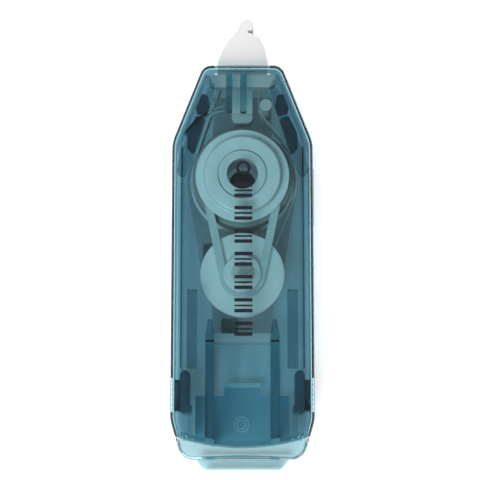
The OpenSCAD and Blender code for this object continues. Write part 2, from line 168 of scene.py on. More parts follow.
def math_node(nt, op, a, b=None):
    n = node(nt, "ShaderNodeMath")
    n.operation = op
    for i, v in enumerate((a, b)):
        if v is None:
            continue
        if isinstance(v, (int, float)):
            n.inputs[i].default_value = v
        else:
            nt.links.new(v, n.inputs[i])
    return n.outputs[0]


def blend(nt, factor, a, b):
    """From a to b, each a colour or a socket."""
    n = node(nt, "ShaderNodeMix", data_type="RGBA")
    nt.links.new(factor, n.inputs["Factor"])
    for slot, v in ((6, a), (7, b)):
        if isinstance(v, tuple):
            n.inputs[slot].default_value = (*v, 1)
        else:
            nt.links.new(v, n.inputs[slot])
    return n.outputs[2]


def part_of(nt, vector, axis):
    split = node(nt, "ShaderNodeSeparateXYZ")
    nt.links.new(vector, split.inputs[0])
    return split.outputs[axis]


def stretched(nt, scale):
    n = node(nt, "ShaderNodeMapping")
    n.inputs["Scale"].default_value = scale
    nt.links.new(coords(nt), n.inputs["Vector"])
    return n.outputs["Vector"]


def radius_from(nt, at):
    """Distance in metres from the axle at (x, y from the rear) in mm."""
    n = node(nt, "ShaderNodeVectorMath")
    n.operation = "SUBTRACT"
    nt.links.new(coords(nt), n.inputs[0])
    n.inputs[1].default_value = (at[0] * MM, (at[1] + REAR) * MM, 0)
    flat = node(nt, "ShaderNodeVectorMath")
    flat.operation = "MULTIPLY"
    nt.links.new(n.outputs[0], flat.inputs[0])
    flat.inputs[1].default_value = (1, 1, 0)
    ln = node(nt, "ShaderNodeVectorMath")
    ln.operation = "LENGTH"
    nt.links.new(flat.outputs[0], ln.inputs[0])
    return ln.outputs["Value"]


# ---------------------------------------------------------------- materials
IOR_CLEAR = 1.47
IOR_MILKY = 1.46
TURNING_PITCH = 0.22 * MM


def tinted(name, tint, per_m, rough=(0.012, 0.035), dim=None, through=1.0, foot=None, sides=None):
    """Clear dyed plastic: tint is what one wall lets through, and per_m darkens long ways through it.
    foot is the tint behind y = 10, where a piece gets paler, and sides is painted shade: a darker tint put on
    upright faces.
    """
    m, nt, out = new_mat(name)
    b = node(nt, "ShaderNodeBsdfPrincipled")
    b.inputs["IOR"].default_value = IOR_CLEAR
    b.inputs["Transmission Weight"].default_value = through
    b.inputs["Specular Tint"].default_value = (0.3, 0.3, 0.3, 1)
    streak = noise(nt, 60.0, 2.0, vec=stretched(nt, (5, 1, 5)))
    dim = dim or tuple(t * 0.955 for t in tint)
    shade = ramp(nt, streak, [(0.3, dim), (0.7, tint)])
    if foot:
        start, end = ((y + REAR) * MM for y in (9.2, 10.2))
        shade = blend(nt, remap(nt, part_of(nt, coords(nt), "Y"), 0, 1, start, end), foot, shade)
    # Upright faces get the darker sides tint: painted shade.
    if sides:
        normal = node(nt, "ShaderNodeNewGeometry").outputs["True Normal"]
        level = math_node(nt, "ABSOLUTE", part_of(nt, normal, "Z"))
        shade = blend(nt, remap(nt, level, 0, 1, 0.25, 0.55), sides, shade)
    nt.links.new(shade, b.inputs["Base Color"])
    nt.links.new(remap(nt, streak, *rough), b.inputs["Roughness"])
    clear = node(nt, "ShaderNodeBsdfTransparent")
    clear.inputs["Color"].default_value = (*(math.sqrt(t) for t in tint), 1)
    path = node(nt, "ShaderNodeLightPath")
    mix = node(nt, "ShaderNodeMixShader")
    nt.links.new(path.outputs["Is Shadow Ray"], mix.inputs["Fac"])
    nt.links.new(b.outputs[0], mix.inputs[1])
    nt.links.new(clear.outputs[0], mix.inputs[2])
    nt.links.new(mix.outputs[0], out.inputs["Surface"])
    dens = 1.05 * max(per_m)
    v = node(nt, "ShaderNodeVolumeAbsorption")
    v.inputs["Density"].default_value = dens
    v.inputs["Color"].default_value = (*(1 - a / dens for a in per_m), 1)
    nt.links.new(v.outputs[0], out.inputs["Volume"])
    return m


def milky(name, low, high, rough=(0.28, 0.42), glow=0.5, rings=None, haze=1.0, lit_above=None):
    """Natural or white moulded plastic: soft light spread, faint flow marks and turning marks.
    haze is how much it hides, and the last argument is painted light: a lighter colour put on what stands above z
    = 3.
    """
    m, nt, out = new_mat(name)
    b = node(nt, "ShaderNodeBsdfPrincipled")
    cloud = noise(nt, 140.0, 4.0)
    shade = ramp(nt, cloud, [(0.3, low), (0.7, high)])
    # What stands above z = 3 gets the lighter colour: painted light, and the low parts keep the darker one.
    if lit_above:
        shade = blend(nt, remap(nt, part_of(nt, coords(nt), "Z"), 0, 1, 0.0026, 0.0034), shade, lit_above)
    nt.links.new(shade, b.inputs["Base Color"])
    nt.links.new(remap(nt, noise(nt, 700.0, 3.0), *rough), b.inputs["Roughness"])
    b.inputs["IOR"].default_value = IOR_MILKY
    b.inputs["Alpha"].default_value = haze
    b.inputs["Subsurface Weight"].default_value = glow
    b.inputs["Subsurface Radius"].default_value = (1.0, 1.0, 0.9)
    b.inputs["Subsurface Scale"].default_value = 0.0012
    normal = bump(nt, noise(nt, 2600.0, 2.0), 0.08, 0.00002)
    if rings:
        r = radius_from(nt, rings)
        wave = math_node(nt, "SINE", math_node(nt, "MULTIPLY", r, 2 * math.pi / TURNING_PITCH))
        normal = bump(nt, wave, 0.06, 0.00001, normal)
    nt.links.new(normal, b.inputs["Normal"])
    nt.links.new(b.outputs[0], out.inputs["Surface"])
    return m


def wound(name, at, dark, light, pitch):
    """The side of a wound roll of tape: fine turns, a few of them standing proud."""
    m, nt, out = new_mat(name)
    b = node(nt, "ShaderNodeBsdfPrincipled")
    r = radius_from(nt, at)
    turn = math_node(nt, "SINE", math_node(nt, "MULTIPLY", r, 2 * math.pi / pitch))
    band = node(nt, "ShaderNodeTexNoise", noise_dimensions="1D")
    band.inputs["Scale"].default_value = 1.0
    band.inputs["Detail"].default_value = 4.0
    nt.links.new(math_node(nt, "MULTIPLY", r, 2600.0), band.inputs["W"])
    mixed = math_node(nt, "ADD", math_node(nt, "MULTIPLY", turn, 0.16), band.outputs["Fac"])
    nt.links.new(ramp(nt, mixed, [(0.25, dark), (0.75, light)]), b.inputs["Base Color"])
    nt.links.new(remap(nt, noise(nt, 900.0), 0.5, 0.68), b.inputs["Roughness"])
    nt.links.new(bump(nt, mixed, 0.5, 0.00003), b.inputs["Normal"])
    nt.links.new(b.outputs[0], out.inputs["Surface"])
    return m


def rubber(name, low, high, rough=(0.45, 0.6)):
    m, nt, out = new_mat(name)
    b = node(nt, "ShaderNodeBsdfPrincipled")
    nt.links.new(ramp(nt, noise(nt, 420.0, 4.0), [(0.3, low), (0.7, high)]), b.inputs["Base Color"])
    nt.links.new(remap(nt, noise(nt, 1300.0), *rough), b.inputs["Roughness"])
    b.inputs["Subsurface Weight"].default_value = 0.25
    b.inputs["Subsurface Scale"].default_value = 0.0008
    nt.links.new(bump(nt, noise(nt, 5200.0, 3.0), 0.25, 0.00002), b.inputs["Normal"])
    nt.links.new(b.outputs[0], out.inputs["Surface"])
    return m


# Both shells paint a darker sides tint on their upright faces: painted shade for their dark edges.
SHELL = tinted("case_clear", (0.62, 0.79, 0.82), (105, 50, 38), sides=(0.24, 0.40, 0.47))
# The back shell's tint is darker than the front's: the case's dye plus painted shade for the dimmer light under
# the case.
BACK = tinted("case_back_clear", (0.46, 0.64, 0.70), (105, 50, 38), rough=(0.03, 0.08),
              dim=(0.325, 0.51, 0.585), sides=(0.28, 0.44, 0.51))
HOLD = tinted("holder_clear", (0.82, 0.93, 0.95), (24, 10, 8))
INSERT = tinted("holder_insert", (0.24, 0.50, 0.61), (60, 24, 18), rough=(0.05, 0.10),
                dim=(0.20, 0.46, 0.57), through=0.55)
TAB = tinted("holder_tab", (0.52, 0.78, 0.84), (14, 7, 6), rough=(0.05, 0.10), through=0.78)
# Painted highlight: a lighter tint on the tongue's ridge top and on the mark's rings.
GLINT = tinted("holder_painted_highlight", (0.46, 0.76, 0.86), (14, 7, 6), rough=(0.05, 0.10), through=0.45)
PRONG = tinted("holder_prongs", (0.42, 0.68, 0.75), (45, 28, 24), rough=(0.015, 0.03))
RIB = tinted("case_ribs", (0.42, 0.68, 0.76), (60, 30, 24))
RAIL = tinted("case_rails", (0.52, 0.66, 0.70), (60, 40, 34), rough=(0.03, 0.07))
LINING = tinted("case_lining", (0.55, 0.68, 0.74), (90, 60, 50), rough=(0.03, 0.07))
LUG = tinted("case_lugs", (0.10, 0.17, 0.21), (80, 60, 50))
ARM = tinted("release_clear", (0.16, 0.26, 0.32), (24, 14, 12), rough=(0.03, 0.09), foot=(0.74, 0.86, 0.90))
GRIP = tinted("grip_clear", (0.22, 0.34, 0.40), (70, 50, 44), rough=(0.03, 0.09))
# Painted shade: a dark tint on the cap's low rear edge.
RIM_SHADE = tinted("cap_rim_painted_shade", (0.30, 0.36, 0.39), (24, 10, 8))
TIP = milky("tip_white", (0.53, 0.53, 0.53), (0.57, 0.57, 0.568), glow=0.25)
REEL = milky("reel_white", (0.85, 0.90, 0.90), (0.90, 0.94, 0.935), rings=SUP)
TAKE = milky("takeup_white", (0.84, 0.90, 0.90), (0.90, 0.945, 0.94), rings=TAK)
# The frame's dark low colour is painted shade for its dim deep parts, and its raised parts get painted light.
DECK = milky("frame_natural_painted_light", (0.19, 0.24, 0.26), (0.26, 0.31, 0.33), rough=(0.35, 0.5), glow=0.2,
             haze=0.28, lit_above=(0.82, 0.86, 0.86))
# Near-black panes under the frame's windows and hub stand in for shade seen through them: painted shade.
SHADE_PANE = milky("window_painted_shade", (0.060, 0.080, 0.090), (0.075, 0.095, 0.108), rough=(0.4, 0.55), glow=0.0)
CLIP = milky("clip_grey", (0.58, 0.60, 0.60), (0.66, 0.68, 0.67), rings=TAK)
# The roll of white tape is coloured dark grey: painted shade under the reel's flange.
SHADED_ROLL = wound("tape_turns_painted_shade", SUP, (0.26, 0.28, 0.28), (0.38, 0.40, 0.39), 0.00016)
USED = wound("film_turns", TAK, (0.42, 0.46, 0.46), (0.62, 0.66, 0.66), 0.00012)
TAPE = rubber("tape_coating", (0.84, 0.84, 0.82), (0.90, 0.90, 0.88), rough=(0.55, 0.7))
FILM = milky("bare_film", (0.72, 0.78, 0.79), (0.82, 0.87, 0.88), rough=(0.2, 0.35), glow=0.1, haze=0.42)
BELT = rubber("belt_rubber", (0.50, 0.60, 0.62), (0.58, 0.67, 0.69))
CLUTCH = rubber("clutch_rubber", (0.06, 0.065, 0.07), (0.10, 0.11, 0.115))
INK = milky("dark_print", (0.006, 0.007, 0.012), (0.011, 0.012, 0.020), rough=(0.5, 0.65), glow=0.0)
INK.node_tree.nodes["Principled BSDF"].inputs["Specular IOR Level"].default_value = 0.15


# ---------------------------------------------------------------- mesh helpers
def unit(v):
    n = math.hypot(*v)
    return (v[0] / n, v[1] / n)


def fillet(points, seg=6):
    """Corners (x, y, radius) of a closed outline to points, each corner rounded by its radius."""
    out = []
    n = len(points)
    for i in range(n):
        a, b, c = points[i - 1], points[i], points[(i + 1) % n]
        r = b[2] if len(b) > 2 else 0
        if r <= 0:
            out.append((b[0], b[1]))
            continue
        u = unit((a[0] - b[0], a[1] - b[1]))
        v = unit((c[0] - b[0], c[1] - b[1]))
        half = math.acos(max(-1, min(1, u[0] * v[0] + u[1] * v[1]))) / 2
        t = r / math.tan(half)
        w = unit((u[0] + v[0], u[1] + v[1]))
        o = (b[0] + w[0] * r / math.sin(half), b[1] + w[1] * r / math.sin(half))
        p = (b[0] + u[0] * t - o[0], b[1] + u[1] * t - o[1])
        turn = math.pi - 2 * half
        if u[0] * v[1] - u[1] * v[0] > 0:
            turn = -turn
        s = math.atan2(p[1], p[0])
        for k in range(seg + 1):
            an = s + turn * k / seg
            out.append((o[0] + r * math.cos(an), o[1] + r * math.sin(an)))
    return out


REAR_W = HALF_W - 2.4
CORNERS = [(REAR_W, 0, 3.5), (HALF_W, 8.2, 8), (HALF_W, 67, 8), (8.4, 84, 2.6)]
CORNERS += [(-x, y, r) for x, y, r in reversed(CORNERS)]


def case_outline(d, seg=14):
    """The outline of the case moved inwards by d."""
    n = len(CORNERS)
    moved = []
    for i in range(n):
        a, b, c = CORNERS[i - 1], CORNERS[i], CORNERS[(i + 1) % n]
        e, f = unit((b[0] - a[0], b[1] - a[1])), unit((c[0] - b[0], c[1] - b[1]))
        m, k = (-e[1], e[0]), (-f[1], f[0])
        s = d / (1 + m[0] * k[0] + m[1] * k[1])
        moved.append((b[0] + s * (m[0] + k[0]), b[1] + s * (m[1] + k[1]), max(b[2] - d, 0.15)))
    return fillet(moved, seg)


def to_row(p, z):
    return (p[0] * MM, (p[1] + REAR) * MM, z * MM)


def make(name, bm, mat=None):
    bmesh.ops.recalc_face_normals(bm, faces=bm.faces)
    me = bpy.data.meshes.new(name)
    bm.to_mesh(me)
    bm.free()
    o = bpy.data.objects.new(name, me)
    scene.collection.objects.link(o)
    if mat:
        me.materials.append(mat)
    return o


def loft(name, rings, mat=None):
    """rings: [(z, points)], all with as many points; both ends are capped."""
    bm = bmesh.new()
    rows = [[bm.verts.new(to_row(p, z)) for p in pts] for z, pts in rings]
    n = len(rows[0])
    for a, b in zip(rows, rows[1:]):
        for i in range(n):
            bm.faces.new((a[i], a[(i + 1) % n], b[(i + 1) % n], b[i]))
    bm.faces.new(rows[0])
    bm.faces.new(rows[-1])
    return make(name, bm, mat)


def prism(name, pts, z0, z1, mat=None):
    return loft(name, [(z0, pts), (z1, pts)], mat)


def box(name, x0, y0, z0, x1, y1, z1, mat=None):
    return prism(name, [(x0, y0), (x1, y0), (x1, y1), (x0, y1)], z0, z1, mat)


def lathe(name, at, profile, mat, seg=128, fil=5):
    """A closed profile of (radius, z, corner radius) turned about the axle at."""
    pts = fillet(profile, fil)
    bm = bmesh.new()
    cols = []
    for k in range(seg):
        a = 2 * math.pi * k / seg
        cols.append([
            bm.verts.new(to_row((at[0] + r * math.cos(a), at[1] + r * math.sin(a)), z)) for r, z in pts
        ])
    n = len(pts)
    for k in range(seg):
        a, b = cols[k], cols[(k + 1) % seg]
        for i in range(n):
            bm.faces.new((a[i], b[i], b[(i + 1) % n], a[(i + 1) % n]))
    return smooth(make(name, bm, mat))


def disc_points(at, r, seg=24):
    return [(at[0] + r * math.cos(2 * math.pi * k / seg), at[1] + r * math.sin(2 * math.pi * k / seg))
            for k in range(seg)]


def combine(base, others, op):
    """Union or difference with each of the others, which are used up."""
    for o in others:
        m = base.modifiers.new("cut", "BOOLEAN")
        m.operation = op
        m.solver = "EXACT"
        m.object = o
    bake(base)
    for o in others:
        me = o.data
        bpy.data.objects.remove(o)
        bpy.data.meshes.remove(me)
    return base


def bake(o):
    """Applies an object's modifiers to its mesh."""
    bpy.context.view_layer.update()
    got = o.evaluated_get(bpy.context.evaluated_depsgraph_get())
    me = bpy.data.meshes.new_from_object(got)
    mats = [s.material for s in o.material_slots]
    old = o.data
    o.modifiers.clear()
    o.data = me
    me.materials.clear()
    for m in mats:
        me.materials.append(m)
    for p in me.polygons:
        p.material_index = 0
    bpy.data.meshes.remove(old)
    return o


def smooth(o, angle=34):
    me = o.data
    for p in me.polygons:
        p.use_smooth = True
    bm = bmesh.new()
    bm.from_mesh(me)
    for e in bm.edges:
        e.smooth = len(e.link_faces) == 2 and e.calc_face_angle(0) < math.radians(angle)
    bm.to_mesh(me)
    bm.free()
    return o


def soften(o, width, seg=2, angle=34):
    """Small rounded edges, then smooth shading."""
    m = o.modifiers.new("edges", "BEVEL")
    m.width = width * MM
    m.segments = seg
    m.limit_method = "ANGLE"
    m.angle_limit = math.radians(angle)
    m.use_clamp_overlap = True
    bake(o)
    return smooth(o, 50)


def done(o, body, slot, *nodes):
    w = o.modifiers.new("normals", "WEIGHTED_NORMAL")
    w.keep_sharp = True
    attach(o, body)
    if nodes:
        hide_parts(*nodes)
    return o


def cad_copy(name, new_name, mat):
    """A closed copy of a CAD node, to be worked on."""
    bm = bmesh.new()
    bm.from_mesh(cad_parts[name].data)
    bmesh.ops.remove_doubles(bm, verts=bm.verts, dist=1e-7)
    o = make(new_name, bm, mat)
    o.data.polygons.foreach_set("material_index", [0] * len(o.data.polygons))
    return o


# ---------------------------------------------------------------- sleeve
def skin(d, z0, z1, r_low, r_high, steps=7):
    """Rings of the case form inset by d, with its low and high edges rounded."""
    rings = []
    if r_low:
        for k in range(steps + 1):
            a = math.pi / 2 * k / steps
            rings.append((z0 + r_low * (1 - math.cos(a)), case_outline(d + r_low * (1 - math.sin(a)))))
    else:
        rings.append((z0, case_outline(d)))
    if r_high:
        for k in range(steps, -1, -1):
            a = math.pi / 2 * k / steps
            rings.append((z1 - r_high * (1 - math.cos(a)), case_outline(d + r_high * (1 - math.sin(a)))))
    else:
        rings.append((z1, case_outline(d)))
    return rings


def seam_arc(inside, seg=60):
    """Points of the curved seam, from left to right, moved towards the tip by inside."""
    r = SEAM_R - inside
    across = [-22 + 44 * k / seg for k in range(seg + 1)]
    return [(x, SEAM_Y - math.sqrt(r * r - x * x)) for x in across]


def behind_seam(inside=0.0):
    """A cutter for what lies behind the seam."""
    return prism("cut", [(-22, -9), (22, -9)] + seam_arc(inside)[::-1], -2, CASE_T + 2)


def ahead_of_seam(inside=0.0):
    return prism("cut", seam_arc(inside) + [(22, 120), (-22, 120)], -2, CASE_T + 2)


def windows():
    z0, z1 = SPLIT - WINDOW_Z, SPLIT + WINDOW_Z
    out = []
    for side in (-1, 1):
        x0, x1 = sorted((side * (HALF_W + 1), side * (HALF_W - WALL - 0.8)))
        out.append(box("cut", x0, WINDOW_Y[0], z0, x1, WINDOW_Y[1], z1))
    return out


def mouth():
    """The opening for the tip."""
    return box("cut", -6.0, CASE_LEN - WALL - 1, 1.62, 6.0, CASE_LEN + 1, 10.02)


def pill(x0, x1, y0, y1, z0, z1, seg=10):
    """A bar with one round end."""
    r = (x1 - x0) / 2 * 0.999
    return prism("add", fillet([(x0, y0, r), (x1, y0, r), (x1, y1), (x0, y1)], seg), z0, z1)


front = loft("front_shell_clear", skin(0, SPLIT + SPLIT_GAP, CASE_T, 0, EDGE), SHELL)
combine(front, [loft("cut", skin(SIDE, SPLIT - 1, CASE_T - WALL, 0, 0.4))], "DIFFERENCE")
combine(front, [behind_seam(), mouth()] + windows(), "DIFFERENCE")
soften(front, 0.10)
done(front, "case", "case_front", "front_shell")

for n, (x0, x1) in enumerate([(-3.5, -2.15), (-0.5, 0.95)]):
    rib = pill(x0, x1, CASE_LEN - 10.4, CASE_LEN - WALL - 0.6, 11.35, UNDER_FRONT)
    rib.name = f"front_rib_{n + 1}"
    rib.data.materials.append(RIB)
    soften(rib, 0.18, 3)
    done(rib, "case", "case_front")
for side, tag in ((-1, "left"), (1, "right")):
    x0, x1 = sorted((side * 9.4, side * 11.6))
    rail = box(f"front_rail_{tag}", x0, 18.9, 11.0, x1, 35.4, UNDER_FRONT, RAIL)
    soften(rail, 0.2, 3)
    done(rail, "case", "case_front")
band = prism("case_side_lining", case_outline(2.0), WALL + 0.01, UNDER_FRONT)
combine(band, [
    prism("cut", case_outline(2.32), 0, 16),
    box("cut", -20, -9, 0, 20, LINING_Y[0], 16),
    box("cut", -20, LINING_Y[1], 0, 20, 99, 16),
], "DIFFERENCE")
band.data.materials.append(LINING)
soften(band, 0.12)
done(band, "case", "case_back")

back = loft("back_shell_clear", skin(0, 0, SPLIT - SPLIT_GAP, EDGE, 0), BACK)
combine(back, [loft("cut", skin(SIDE, WALL, SPLIT + 1, 0.4, 0))], "DIFFERENCE")
combine(back, [behind_seam(), mouth()] + windows(), "DIFFERENCE")
soften(back, 0.10)
done(back, "case", "case_back", "back_shell")

# ---------------------------------------------------------------- holder
cap = loft("cap", skin(0, 0, CASE_T, EDGE, EDGE), HOLD)
combine(cap, [ahead_of_seam(-GAP)], "DIFFERENCE")
inner = loft("add", skin(WALL + GAP, WALL + GAP, CASE_T - WALL - GAP, 0.4, 0.4))
combine(inner, [ahead_of_seam(1.3)], "DIFFERENCE")
combine(cap, [inner], "UNION")
hollow = loft("cut", skin(WALL + GAP + 0.8, WALL + GAP + 0.8, CASE_T - WALL - GAP - 0.8, 0.4, 0.4))
combine(hollow, [behind_seam(0.35)], "DIFFERENCE")
combine(cap, [hollow], "DIFFERENCE")
adds = [
    box("add", -10.1, 0.6, FLOOR, 10.1, 13.8, FLOOR + 1.0),
    box("add", -3.9, 12.8, FLOOR, 3.9, 16.5, FLOOR + 1.001),
    box("add", -3.88, 15.5, FLOOR + 0.1, 3.88, 16.48, FLOOR + 1.8),
    prism("add", [(-9.7, 0.6), (9.7, 0.6), (9.7, 0.0), (8.6, -1.45), (7.9, -1.95), (-7.9, -1.95), (-8.6, -1.45),
                  (-9.7, 0)], 0.6, 3.6),
]
for s in (-1, 1):
    c, w = s * PRONG_X, PRONG_W - 0.001
    adds.append(box("add", c - PRONG_W, 0.61, FLOOR + 0.01, c + PRONG_W, 24.8, PRONG_TOP))
    adds.append(prism("add", [(c - w, 23.9), (c + w, 23.9), (c + w, 26.1), (c + 0.4, 29.2), (c - 0.4, 29.2),
                              (c - w, 26.1)], 7.1, PRONG_TOP - 0.01))
    seat = box("add", s * 11 - 0.95, 0.62, 3.5, s * 11 + 0.95, 5.0, 11.5)
    combine(seat, [prism("cut", disc_points((s * 11, 5.2), 0.88, 32), 3, 12)], "DIFFERENCE")
    adds.append(seat)
combine(cap, adds, "UNION")
cap.name = "holder_clear"
for a in range(2):
    r0, r1 = 1.45 - 0.62 * a, 1.7 - 0.62 * a
    low, high = FLOOR + 0.9, FLOOR + 1.25
    mark = lathe("add", MARK, [(r0, low, 0), (r1, low, 0), (r1, high, 0), (r0, high, 0)], None, 48, 1)
    combine(cap, [mark], "UNION")
soften(cap, 0.10)
for m in (INSERT, PRONG, TAB, GLINT, RIM_SHADE):
    cap.data.materials.append(m)
for p in cap.data.polygons:
    x, y, z = p.center.x / MM, p.center.y / MM - REAR, p.center.z / MM
    seam = SEAM_Y - math.sqrt(SEAM_R ** 2 - x * x)
    on_mark = math.hypot(x - MARK[0], y - MARK[1]) < 1.9
    if PRONG_X - 1 < abs(x) < PRONG_X + 1 and y > 2.3 and 2.3 < z < PRONG_TOP + 0.02:
        p.material_index = 2
    # The ridge top and the mark get the lighter tint: painted highlight.
    elif abs(x) < 3.9 and FLOOR + 1.02 < z < 4 and (y > 14.5 or on_mark):
        p.material_index = 4
    elif y > seam + 1.4:
        p.material_index = 1
    elif y < 0.05 and abs(p.normal.y) < 0.99:
        p.material_index = 3
    # The cap's low rear edge, facing down and back, gets the dark tint: painted shade.
    elif y < 1.5 and z < 1.2 and p.normal.z < -0.1 and p.normal.y < -0.1:
        p.material_index = 5
done(cap, "holder", "holder", "refill_holder")

# ---------------------------------------------------------------- grip ridges on the right side of the case
GRIP_X = HALF_W + 0.01
grip = None
for i in range(14):
    y = 50 + 0.9 * i
    half = [(0.40 * math.cos(math.radians(a)), y + 0.28 * math.sin(math.radians(a))) for a in range(-90, 91, 15)]
    rows = []
    for k in range(9):
        t = k / 8
        swell = min(1.0, 0.25 + 4 * min(t, 1 - t))
        rows.append((3.0 + 9.0 * t, [(GRIP_X + x * swell, v) for x, v in half]))
    one = loft("ridge", rows, GRIP)
    grip = one if grip is None else combine(grip, [one], "UNION")
grip.name = "grip_ridges"
smooth(grip)
done(grip, "case", "case_front")

# ---------------------------------------------------------------- thumb pads in the side windows
PAD_X = (13.02, 14.72)
PAD_Y = (10.3, 16.7)
for side, tag in ((-1, "left"), (1, "right")):
    face = [(side * PAD_X[0], PAD_Y[0]), (side * PAD_X[1], PAD_Y[0])]
    for k in range(25):
        ripple = 0.12 * math.cos(2 * math.pi * k / 4)
        face.append((side * (PAD_X[1] + 0.1 + ripple), PAD_Y[0] + 0.15 + 6.1 * k / 24))
    face += [(side * PAD_X[1], PAD_Y[1]), (side * PAD_X[0], PAD_Y[1])]
    pad = prism(f"thumb_pad_{tag}", face, 4.35, 10.65, LUG)
    soften(pad, 0.12)
    done(pad, f"arm_{tag}", "release")

# ---------------------------------------------------------------- tip
def curve(points, n=5):
    """A smooth run of points through the given ones."""
    out = []
    for i in range(len(points) - 1):
        p = [points[max(0, min(len(points) - 1, i + k))] for k in (-1, 0, 1, 2)]
        for k in range(n):
            t = k / n
            out.append(tuple(
                b + 0.5 * (t * (c - a) + t * t * (2 * a - 5 * b + 4 * c - d) + t ** 3 * (3 * b - a - 3 * c + d))
                for a, b, c, d in zip(*p)
            ))
    return out + [points[-1]]


def height_block(x0, x1, y0, y1, top, rise, n=36):
    """What lies above the surface rise(x, y), as a cutter."""
    bm = bmesh.new()
    grid = [[(x0 + (x1 - x0) * i / n, y0 + (y1 - y0) * j / n) for i in range(n + 1)] for j in range(n + 1)]
    low = [[bm.verts.new(to_row(p, rise(*p))) for p in row] for row in grid]
    high = [[bm.verts.new(to_row(p, top)) for p in row] for row in grid]
    for j in range(n):
        for i in range(n):
            bm.faces.new((low[j][i], low[j][i + 1], low[j + 1][i + 1], low[j + 1][i]))
            bm.faces.new((high[j][i], high[j + 1][i], high[j + 1][i + 1], high[j][i + 1]))
    for i in range(n):
        for a, b in ((0, 0), (n, n)):
            bm.faces.new((low[a][i], high[a][i], high[a][i + 1], low[a][i + 1]))
            bm.faces.new((low[i][b], low[i + 1][b], high[i + 1][b], high[i][b]))
    return make("cut", bm)


def hood_points(y0):
    """The outline of the tip's hood, whose nose hooks over to the right, cut off at y0."""
    left = [(-5.05, -11.8), (-4.97, -9.2), (-4.45, -7.6), (-3.6, -6.0), (-2.7, -4.5), (-1.6, -3.2),
            (-1.0, -2.4), (-0.6, -1.4), (-0.2, -0.6)]
    ball = [(1.15 + 1.3 * math.cos(math.radians(a)), 1.3 * math.sin(math.radians(a)) - 1.3)
            for a in range(132, 11, -12)]
    hook = [(2.5, -1.6), (2.5, -2.1), (2.35, -2.42), (1.7, -2.58), (1.2, -2.78), (1.15, -3.02)]
    right = [(1.35, -3.26), (2.0, -3.4), (2.75, -3.65), (3.4, -4.3), (4.15, -5.5), (4.85, -7.1),
             (5.35, -8.9), (5.55, -10.1), (5.6, -11.8)]
    sides = [(x, y + NOSE_Y) for x, y in curve(left) + ball + hook + curve(right)]
    return [(-5.05, y0)] + [p for p in sides if p[1] > y0 + 0.05] + [(5.6, y0)]


def crown(x, y):
    """The front of the hood: fullest in the middle, falling away to its edges and its nose."""
    back = max(0.0, (y - NOSE_Y + 6.5) / 6.5)
    side = (x - 0.5) / (5.6 - 2.4 * min(1.0, back))
    return 9.98 - 1.15 * min(1.0, side * side) ** 1.4 - 0.7 * min(1.0, back) ** 2


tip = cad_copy("applicator_tip", "applicator_tip_moulded", TIP)
z0, z1 = 2.12, 9.52
combine(tip, [prism("add", hood_points(CASE_LEN + 0.2), z1 - 1.05, 10.6)], "UNION")
combine(tip, [prism("add", hood_points(CASE_LEN + 0.2), z0 + 0.01, z0 + 1.05)], "UNION")
combine(tip, [height_block(-9, 9, CASE_LEN + 0.1, NOSE_Y + 2, 14, crown)], "DIFFERENCE")
STEM = (-2.3, 2.2)
FLANGE_Y = 79.78
combine(tip, [
    box("cut", -9, 74, 2.0, STEM[0], FLANGE_Y, 9),
    box("cut", STEM[1], 74, 2.0, 9, FLANGE_Y, 9),
], "DIFFERENCE")
foot_end = [(STEM[0], 73.0, 1.2), (STEM[1], 73.0, 1.2), (STEM[1], 76.0), (STEM[0], 76.0)]
combine(tip, [prism("add", fillet(foot_end, 6), 2.62, 6.2)], "UNION")
notch = [(x, NOSE_Y - y) for x, y in [(1.2, 2.82), (1.7, 2.58), (3.9, 2.2), (3.9, 4.4), (2.75, 3.65), (1.3, 3.24)]]
corners = []
for side in (-1, 1):
    y0, y1 = FLANGE_Y + 0.01, 82.9
    round_end = fillet([(side * 7.31, y0, 1.6), (side * 7.31, y1, 0), (side * 3.0, y1, 0), (side * 3.0, y0, 0)], 8)
    keep = prism("cut", round_end, 0.5, 13)
    x0, x1 = sorted((side * 4.0, side * 8.5))
    block = box("cut", x0, 79.2, 0.8, x1, 82.0, 12)
    corners.append(combine(block, [keep], "DIFFERENCE"))
    x0, x1 = sorted((side * 2.25, side * 8.5))
    corners.append(box("cut", x0, 79.5, 0.9, x1, 82.65, 8.35))
combine(tip, [prism("cut", notch, 0, 13)] + corners, "DIFFERENCE")
soften(tip, 0.16, 3)
done(tip, "holder", "tip_plastic", "applicator_tip")

# ---------------------------------------------------------------- turned parts
z0, z1 = zs("drive_pulley")
pulley = lathe("drive_pulley_turned", SUP, [
    (4.45, z1 - 0.7, 0.1), (6.9, z1 - 0.7, 0.1), (6.9, z0, 0.1), (9.25, z0, 0.12), (9.25, z0 + 0.4, 0.12),
    (7.45, z0 + 0.4, 0.05), (7.45, z0 + 1.5, 0.05), (10.1, z0 + 1.5, 0.15), (10.1, z0 + 2.05, 0.15),
    (8.3, z0 + 2.05, 0.25), (8.3, z1, 0.5), (5.3, z1, 0.06), (5.3, z1 - 0.5, 0.03), (4.45, z1 - 0.5, 0.04)
], REEL)
done(pulley, "pulley", "pulley_plastic", "drive_pulley")

z0, z1 = zs("supply_retainer")
ring = lathe("supply_retainer_turned", SUP, [
    (3.3, z0, 0.08), (3.82, z0, 0.08), (3.82, z1 - 0.6, 0.05), (5.05, z1 - 0.6, 0.1), (5.05, z1 - 0.35, 0.1),
    (3.3, z1 - 0.35, 0.14)
], REEL)
done(ring, "holder", "pulley_plastic", "supply_retainer")

z0, z1 = zs("takeup_pulley")
take = lathe("takeup_pulley_turned", TAK, [
    (1.75, z0, 0.05), (9.0, z0, 0.12), (9.0, z0 + 0.4, 0.12), (3.2, z0 + 0.4, 0.05), (3.2, z0 + 1.5, 0.05),
    (4.0, z0 + 1.5, 0.1), (4.0, z1, 0.15), (1.75, z1, 0.1)
], TAKE)
done(take, "takeup", "pulley_plastic", "takeup_pulley")

